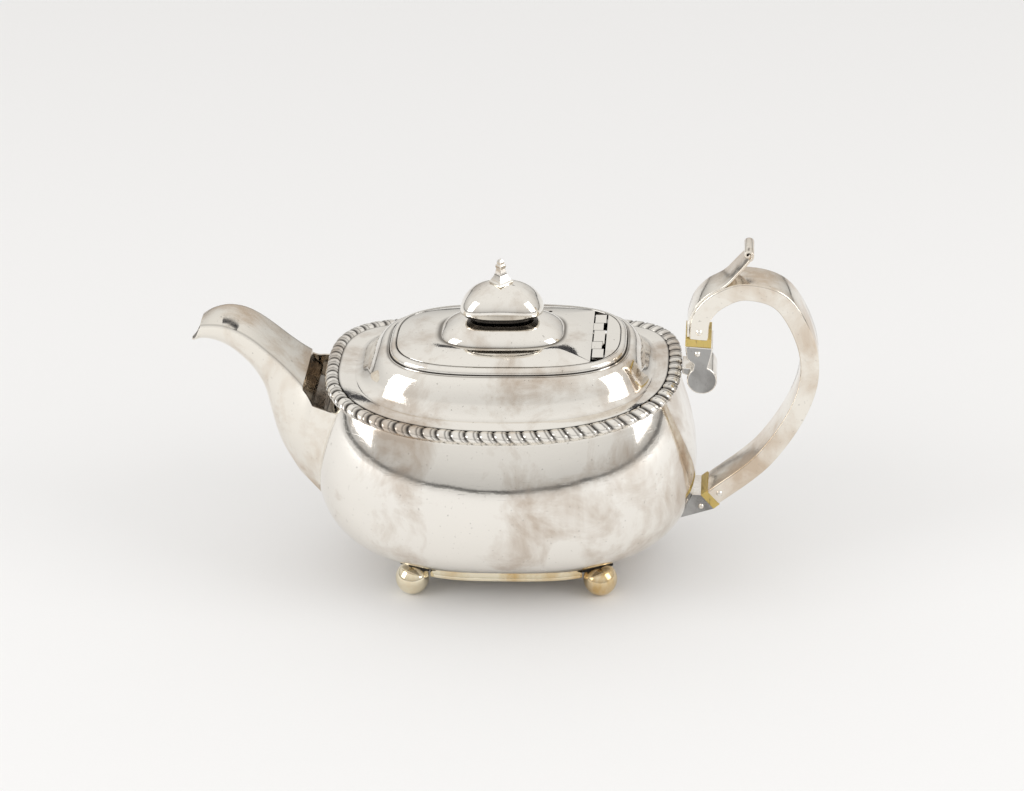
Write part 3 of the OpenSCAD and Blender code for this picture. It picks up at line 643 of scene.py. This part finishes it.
def make_lid():
    """The lid plate, with its vent hole drilled through the border."""
    boss = BOSS_K * np.cos(np.linspace(0, np.pi / 2 * 0.96, 22)) ** 0.5
    ks = np.concatenate([np.linspace(1, BOSS_K, 12), boss[1:]])
    under = [lid_outline(k, lid_top_z(k) - LID_T) for k in ks[::-1]]
    edge = [lid_outline(1, LID_Z - 0.25 * MM), lid_outline(0.997, LID_Z - 0.02 * MM)]
    top = [lid_outline(k, lid_top_z(k)) for k in ks[1:]]
    obj = make_object("lid_plate", *skin(under + edge + top, capped=True), SILVER)
    vent_x, vent_y, vent_r = 20.5 * MM, 20 * MM, 0.9 * MM
    drill = [round_ring(vent_x, vent_y, z, vent_r, 24) for z in (LID_Z - 5 * MM, LID_Z + 9 * MM)]
    recalc_outside(obj)
    cut(obj, [make_object("cutter", *skin(drill, capped=True), SILVER)])
    return place(obj, "lid", "silver", "lid")


# ---------- finial ----------
def cap_ring(k, z):
    """A ring of the cap. Its ends lift less and less from the edge up to the top."""
    arch = CAP_ARCH * max(0.0, 1 - (z - cap_low[2]) / CAP_RISE)
    return ring(CAP_A * k, CAP_B * k, z + arch, PLAN_POWER, 0, -arch)


def cap_top_z(k):
    return cap_low[2] + CAP_EDGE + (CAP_RISE - CAP_EDGE) * (1 - k ** 2.1) ** 0.62


def make_finial_base():
    """The flared base, painted near black for the shade in the gap under the cap, as [share of the cap's
    size, share of the base's height].
    """
    tall = base_high[2] - base_low[2]
    profile = spline([(0.78, 0.0), (0.76, 0.3), (0.84, 0.68), (0.94, 1.0)], 6)
    rings = [ring(CAP_A * k, CAP_B * k, base_low[2] + z * tall) for k, z in profile]
    base = make_object("finial_stem", *skin(rings, capped=True), SILVER_BLACK)
    place(base, "lid", "tarnished_silver", "finial_base")


def make_finial_cap():
    """The cushion cap: a rolled edge with a dome over it."""
    edge = [ring(CAP_A * 0.9, CAP_B * 0.9, cap_low[2] + 0.02 * MM)]
    edge += [cap_ring(0.93, cap_low[2] + 0.05 * MM), cap_ring(0.985, cap_low[2] + 0.15 * MM)]
    edge += [cap_ring(1, cap_low[2] + 0.55 * MM)]
    dome = [cap_ring(k, cap_top_z(k)) for k in np.sin(np.linspace(np.pi / 2 * 0.985, 0.16, 30))]
    cap = make_object("finial_cushion", *skin(edge + dome, capped=True), SILVER)
    place(cap, "lid", "silver", "finial_cap")


def make_finial_spire():
    """A four-sided stepped spire, as [half width, height] in mm."""
    low, high = node_box("finial_spire")
    steps = [(5.6, 0), (5.7, 0.9), (4.6, 1.5), (4.5, 2.0), (3.3, 3.5), (2.6, 5.2), (2.15, 7.1), (2.45, 7.9),
             (2.45, 8.9), (1.75, 9.4), (1.75, 10.5), (0.9, 11.8)]
    stretch = (high[2] - low[2]) / (steps[-1][1] * MM)
    rings = [round_ring(0, 0, low[2] + z * MM * stretch, w * MM, 4) for w, z in steps]
    spire = make_object("finial_spire_tip", *skin(rings, capped=True), SILVER, sharp_deg=20)
    bevel(spire, 0.22 * MM, 2, 25)
    place(spire, "lid", "silver", "finial_spire")


# ---------- spout ----------
# The CAD's stations: top middle x, z, keel x, z and half width, in mm.
SPOUT_ROOT = np.array([-82, 93.4, -82, 35, 29.5])
SPOUT_STATIONS = [
    (-85, 95.8, -96, 49.5, 26), (-88, 98.6, -104, 65, 20.6), (-93, 103.5, -107.8, 80.5, 17.2),
    (-99.5, 110, -110, 92.5, 15), (-106, 116.2, -113.5, 100.8, 14.3), (-112.5, 121.8, -118, 107, 13.6),
    (-119, 125.7, -123.2, 112.3, 12.8), (-126, 127.6, -128.8, 115.6, 11.3),
    (-132.5, 127.1, -134, 116.9, 9.2), (-137.2, 125.4, -138, 116.6, 6.4)]
SPOUT_LIP = (-140.3, 118.8, -140.9, 116, 4.2)
SPOUT_TIP = (-141.8, 117.6, -142.5, 115.4, 1.3)
SPOUT_LINE = spline(SPOUT_STATIONS, 8)
COVER_T = 1.2 * MM
COVER_COLUMNS = 17
SPOUT_WALL = 1.2 * MM
LIP_WALL = 0.9 * MM
SPOUT_ROUND = 2 / 2.1       # the exponent that makes the spout's belly a little fuller than round
DIP = 7 * MM                # how far the cover dips between the cheeks at the root
DIP_STEPS = 12              # over how many of the spout's rings the dip runs out
ROOT_DEPTH = 0.8 * MM       # how far the spout's root runs into the body wall


def spout_point(s, q, inset):
    """Points across a station of the spout: q runs from one cheek, -1, over the keel to the other, 1."""
    top, keel, half = s[:2] * MM, s[2:4] * MM, s[4] * MM
    t = np.pi / 2 * (1 - np.abs(q))
    span = keel - top
    depth = np.linalg.norm(span) - COVER_T - inset
    across = (half - inset) * np.cos(t) ** SPOUT_ROUND
    down = COVER_T + depth * np.sin(t) ** SPOUT_ROUND
    at = top + down[:, None] * span / np.linalg.norm(span)
    return np.stack([at[:, 0], np.sign(q) * across, at[:, 1]], -1)


def spout_section(s, wall=SPOUT_WALL):
    """A closed section of the open channel: along its outside and back along its inside."""
    q = np.linspace(-1, 1, 49)
    return np.vstack([spout_point(s, q, 0), spout_point(s, q[::-1], wall)])


def on_wall(points):
    """The same points moved along x onto the end wall of the body."""
    out = points.copy()
    z = np.minimum(points[:, 2], end_top(points[:, 1]) - TOP_TURN)
    out[:, 0] = ROOT_DEPTH - wall_x(points[:, 1], z)
    return out


def channel_skin(rings):
    """A skin with its two ends closed across the thickness of the channel."""
    verts, faces = skin(rings)
    n = len(rings[0])
    last = (len(rings) - 1) * n
    for j in range(n // 2 - 1):
        faces.append((j, j + 1, n - 2 - j, n - 1 - j))
        faces.append((last + j, last + n - 1 - j, last + n - 2 - j, last + j + 1))
    return verts, faces


def make_spout_shell():
    """The spout's open channel, from the body wall out to the beak."""
    root = on_wall(spout_section(SPOUT_ROOT))
    lip = spline([SPOUT_STATIONS[-1], SPOUT_LIP, SPOUT_TIP], 5)[1:]
    rings = [root] + [spout_section(s) for s in SPOUT_LINE] + [spout_section(s, LIP_WALL) for s in lip]
    shell = make_object("spout_channel", *channel_skin(rings), SILVER_WARM)
    columns, edge = len(root), 4
    inside_shade = np.zeros((len(rings), columns))
    inside_shade[:, columns // 2 + edge:-edge] = 0.75   # painted shade on the inside, but not on the edges of the cheeks
    mark_painted_shade(shell, inside_shade.ravel())
    place(shell, "pot", "silver", "spout_shell")


def cover_section(s, dip):
    """The cover's section; near the root it dips between the spout's cheeks."""
    top, span, half = s[:2] * MM, (s[2:4] - s[:2]) * MM, s[4] * MM
    down = span / np.linalg.norm(span)
    top = top + dip * down
    half = half - 0.12 * dip
    crown, gap = 0.6 * MM, 0.02 * MM
    q = np.linspace(1, -1, COVER_COLUMNS)
    over = top - crown * (1 - q[:, None] ** 2) * down
    under = np.tile(top + (COVER_T - gap) * down, (COVER_COLUMNS, 1))
    over = np.stack([over[:, 0], half * q, over[:, 1]], -1)
    under = np.stack([under[:, 0], -half * q, under[:, 1]], -1)
    return np.vstack([over, under])


def make_spout_cover():
    """The strip that closes the channel, with painted shade in its dip and along its seams."""
    dips = DIP * np.clip(1 - np.arange(len(SPOUT_LINE)) / DIP_STEPS, 0, 1) ** 0.8
    rings = [on_wall(cover_section(SPOUT_ROOT, DIP))]
    rings += [cover_section(s, dip) for s, dip in zip(SPOUT_LINE, dips)]
    cover = make_object("spout_lid", *channel_skin(rings), SILVER_WARM)
    deep, seam = 0.75, 0.4
    shade = np.repeat(deep * np.concatenate([[DIP], dips])[:, None] / DIP, len(rings[0]), axis=1)
    seams = [0, COVER_COLUMNS - 1]              # the cover's two long edges, against the cheeks
    shade[:, seams] = np.maximum(shade[:, seams], seam)
    mark_painted_shade(cover, shade.ravel())
    place(cover, "pot", "silver", "spout_cover")


# ---------- handle ----------
# The middle of the loop, [x, z] in mm, from the upper socket round to the lower one.
HANDLE_LINE = spline(np.array([
    [88.6, 120.4], [90, 131], [97.5, 139.6], [110.3, 144], [127, 137.3],
    [137.8, 113], [135.2, 88], [118.5, 59.5], [95, 39]]) * MM, 24)


def make_handle():
    section = rounded_section(HANDLE_W, HANDLE_T, 0.8 * MM)
    loop = sweep(HANDLE_LINE, [section] * len(HANDLE_LINE))
    obj = make_object("handle_loop", *loop, SILVER_WARM, sharp_deg=50)
    return place(obj, "pot", "silver", "handle")


def make_thumb_piece():
    """A strip that lies on the handle, lifts off it, narrows and rolls up into a scroll."""
    leaf_t = 1.1 * MM
    hug = HANDLE_LINE + (HANDLE_T / 2 + leaf_t / 2) * normals_2d(HANDLE_LINE)
    lifted = np.array([[105.8, 152.4], [109.4, 156.6]]) * MM
    roll, roll_r, tighten = np.array([110.7, 161.2]) * MM, 2.4 * MM, 0.11
    start = math.radians(-75)
    spiral = [roll + polar(roll_r * (1 - tighten * t), start + t) for t in np.linspace(0, 2.6 * np.pi, 60)]
    lead = spline([*hug[[4, 16, 30, 44, 58]], *lifted, spiral[0]], 10)
    path = np.vstack([lead, spiral[1:]])
    narrowing = np.clip((np.linspace(0, 1, len(path)) - 0.4) / 0.3, 0, 1)
    widths = (HANDLE_W - 1.0 * MM) - 3.0 * MM * narrowing
    sections = [rounded_section(w, leaf_t, 0.4 * MM) for w in widths]
    obj = make_object("thumb_leaf", *sweep(path, sections), SILVER_WARM, sharp_deg=50)
    return place(obj, "pot", "silver", "thumb_piece")


def shade_socket_cheeks(obj):
    """The flat side faces of a socket get the darker silver as painted shade; its bevelled edges keep the
    bright silver.
    """
    obj.data.materials.append(SILVER_DARK)
    for face in obj.data.polygons:
        face.material_index = 1 if abs(face.normal.y) > 0.9 else 0


def make_upper_socket():
    """The upper socket: a seat, a neck, a rolled scroll and the arm to the rim."""
    low, high = node_box("upper_socket")
    seat_z, arm_x, arm_w = high[2] / MM, low[0] / MM + 0.05, 12 * MM
    seat = np.array([[82.5, seat_z - 0.1], [95.1, seat_z - 1.2], [94.2, 111.4]]) * MM
    scroll, scroll_r = np.array([90, 99.7]) * MM, 6.8 * MM
    curl = [scroll + polar(scroll_r, t) for t in np.radians(np.linspace(66, -232, 40))]
    neck = np.array([[86.3, 107.8], [83.2, 110.6]]) * MM
    outline = [*seat, *curl, *neck]
    arm = np.array([[arm_x, 101.5], [arm_x, 104.7], [86, 104.4], [86, 99.4]]) * MM
    slabs = [slab(outline[::-1], high[1] - low[1]), slab(arm, arm_w)]
    obj = make_object("socket_scroll", *joined_slabs(slabs), SILVER)
    recalc_outside(obj)
    shade_socket_cheeks(obj)
    bevel(obj, 0.55 * MM, 3, 50)
    obj.modifiers["edge"].material = 0          # the bevels are bright, in the first slot
    return place(obj, "pot", "tarnished_silver", "upper_socket")


# ---------- feet ----------
def make_foot_ring():
    """A hollow moulding, [in from the foot's edge, z] in mm, cut away at its corners for the feet."""
    profile = [(0, 8.02), (0, 9.0), (0.2, 9.8), (1.1, 11.4), (1.8, 12.6), (2.2, 13.8), (2.3, 15), (1.7, 16),
               (0.8, 16.5), (0.8, 16.98), (3.6, 16.98), (3.8, 10.4), (2.2, 8.02)]
    angles = cushion_angles(FOOT_A, FOOT_B, FOOT_POWER, STEPS)
    rings = [ring(FOOT_A - w * MM, FOOT_B - w * MM, z * MM, FOOT_POWER, angles=angles) for w, z in profile]
    obj = make_object("foot_moulding", *skin(rings, loop=True), GILT)
    recalc_outside(obj)
    corner_x, corner_y, half, cut_top = 45 * MM, 31.5 * MM, 10 * MM, 15.6 * MM
    square = np.array([[-1, -1], [1, -1], [1, 1], [-1, 1]]) * half
    cutters = []
    for sx in (-1, 1):
        for sy in (-1, 1):
            outline = square + [sx * corner_x, sy * corner_y]
            rings = [np.column_stack([outline, np.full(4, z)]) for z in (0, cut_top)]
            cutter = make_object("cutter", *skin(rings, capped=True), GILT)
            recalc_outside(cutter)
            cutters.append(cutter)
    cut(obj, cutters)
    return place(obj, "pot", "gilt_tarnished_silver", "foot_ring")


def make_ball(index):
    """A ball foot with a small flat where it stands on the table."""
    node = "ball_foot_%d" % index
    low, high = node_box(node)
    x, y = ((low + high) / 2)[:2]
    radius = (high[0] - low[0]) / 2
    centre_z = high[2] - radius
    flat = math.asin(-centre_z / radius)
    rings = [round_ring(x, y, centre_z + radius * math.sin(up), radius * math.cos(up), 48)
             for up in np.linspace(flat, np.pi / 2 * 0.97, 26)]
    obj = make_object("foot_ball_%d" % index, *skin(rings, capped=True), GILT)
    return place(obj, "pot", "gilt_tarnished_silver", node)


# ---------- kept CAD nodes ----------
KEPT = [
    (SILVER_DARK, ["hinge_pin", "lid_bearer", "lid_bezel", "strainer", "finial_screw", "finial_nut"]),
    (SILVER, ["lower_socket", "upper_pins", "lower_pins"]),
    (IVORY, ["upper_insulator", "lower_insulator"]),
    (SILVER_BLACK, ["foot_bracket_%d" % index for index in range(1, 5)]),
]


def finish_kept():
    """Gives the CAD nodes that no piece replaces their materials."""
    for material, nodes in KEPT:
        for node in nodes:
            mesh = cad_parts[node].data
            mesh.materials.clear()
            mesh.materials.append(material)
            mesh.shade_smooth()
            mesh.set_sharp_from_angle(angle=math.radians(30))
    shade_socket_cheeks(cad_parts["lower_socket"])


# ---------- studio ----------
def make_floor():
    half = 6.0
    verts = [(-half, -half, 0), (half, -half, 0), (half, half, 0), (-half, half, 0)]
    obj = make_object("floor", verts, [(0, 1, 2, 3)], floor_material())


def softbox(name, position):
    """A tall soft lamp that faces the pot."""
    pot_middle = Vector((0, 0, 0.08))
    data = bpy.data.lights.new(name, "AREA")
    data.shape = "RECTANGLE"
    data.size, data.size_y = 0.75, 1.0
    data.energy = 6
    obj = bpy.data.objects.new(name, data)
    obj.location = position
    obj.rotation_euler = (pot_middle - Vector(position)).to_track_quat("-Z", "Y").to_euler()
    bpy.context.scene.collection.objects.link(obj)


def make_world():
    """A pale studio, lighter upwards, with a dark horizon for the thin dark lines in the silver."""
    world = bpy.data.worlds.new("studio")
    bpy.context.scene.world = world
    world.use_nodes = True
    tree = world.node_tree
    background = tree.nodes["Background"]
    coords = tree.nodes.new("ShaderNodeTexCoord")
    split = tree.nodes.new("ShaderNodeSeparateXYZ")
    tree.links.new(coords.outputs["Generated"], split.inputs[0])
    ramp = tree.nodes.new("ShaderNodeValToRGB")
    stops = [(0.0, 0.30), (0.02, 0.08), (0.045, 0.62), (0.25, 0.80), (0.45, 0.92), (0.8, 1.0)]
    elements = ramp.color_ramp.elements
    while len(elements) < len(stops):
        elements.new(0.5)
    for element, (height, grey) in zip(elements, stops):
        element.position = height
        element.color = rgb(grey, grey * 0.985, grey * 0.96)
    tree.links.new(split.outputs["Z"], ramp.inputs[0])
    tree.links.new(ramp.outputs[0], background.inputs["Color"])
    background.inputs["Strength"].default_value = 0.90


def make_camera():
    """The photograph's view, from a little to the handle's side, above and tilted."""
    elevation, azimuth, roll = math.radians(28), math.radians(4.8), math.radians(-2.0)
    distance = 1.5
    target = Vector((0.0031, 0, 0.0868))        # near the middle of the pot
    away = Vector((math.sin(azimuth) * math.cos(elevation), -math.cos(azimuth) * math.cos(elevation),
                   math.sin(elevation)))
    right = (-away).cross(Vector((0, 0, 1))).normalized()
    up = right.cross(-away)
    rolled_right = right * math.cos(roll) + up * math.sin(roll)
    rolled_up = up * math.cos(roll) - right * math.sin(roll)
    data = bpy.data.cameras.new("camera")
    data.lens = 115.3           # fills the frame as the photograph does
    data.sensor_width = 36
    data.clip_end = 20
    obj = bpy.data.objects.new("camera", data)
    rotation = Matrix((rolled_right, rolled_up, away)).transposed()
    obj.matrix_world = Matrix.Translation(target + away * distance) @ rotation.to_4x4()
    bpy.context.scene.collection.objects.link(obj)
    bpy.context.scene.camera = obj


def make_dark_card():
    """A dark card high up behind the pot, out of the photograph's view, for dark reflections."""
    n = Nodes("dark_gap")
    n.set(n.shader, "Base Color", n.mix(n.noise(3), rgb(0.02, 0.02, 0.025), rgb(0.04, 0.04, 0.05)))
    n.set(n.shader, "Roughness", 0.8)
    y, low, high, half = 1.4, 1.02, 1.17, 0.32
    verts = [(-half, y, low), (half, y, low), (half, y, high), (-half, y, high)]
    make_object("dark_card", verts, [(0, 1, 2, 3)], n.material)


def make_studio():
    make_floor()
    make_dark_card()
    make_world()
    softbox("softbox_left", (-1.25, -0.55, 0.72))
    softbox("softbox_right", (1.25, -0.45, 0.72))
    bpy.context.scene.view_settings.view_transform = "Standard"


make_camera()
make_studio()
make_body()
make_shoulder()
make_gadroon_rim()
make_collar()
make_hinge_plate()
make_hinge()
make_lid()
make_finial_base()
make_finial_cap()
make_finial_spire()
make_spout_shell()
make_spout_cover()
make_handle()
make_thumb_piece()
make_upper_socket()
make_foot_ring()
for foot in range(1, 5):
    make_ball(foot)
finish_kept()
